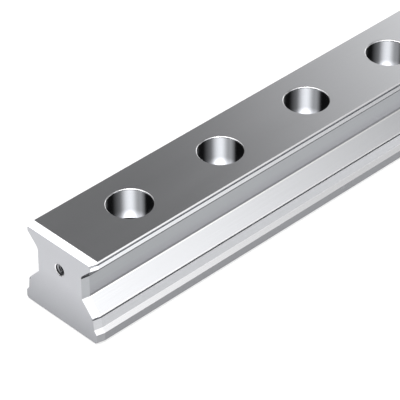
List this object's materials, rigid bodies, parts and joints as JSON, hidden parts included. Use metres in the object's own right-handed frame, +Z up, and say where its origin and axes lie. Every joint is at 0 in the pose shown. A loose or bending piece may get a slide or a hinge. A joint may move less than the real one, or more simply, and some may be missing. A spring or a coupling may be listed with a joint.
{
  "type": "roller guide rail",
  "caption": "Straight ground steel guide rail with undercut raceways on both sides and a row of counterbored holes along its top.",
  "frame": {"origin": "centre of the bottom face, at half the rail's length", "axes": "+X along the rail, away from the end seen in the picture; +Y across it; +Z up, out of the face with the counterbores"},
  "size_m": [0.5, 0.034, 0.0308],
  "materials": {
    "ground_steel": "ground"
  },
  "bodies": {
    "root": {"guide_rail": "ground_steel"}
  },
  "joints": []
}
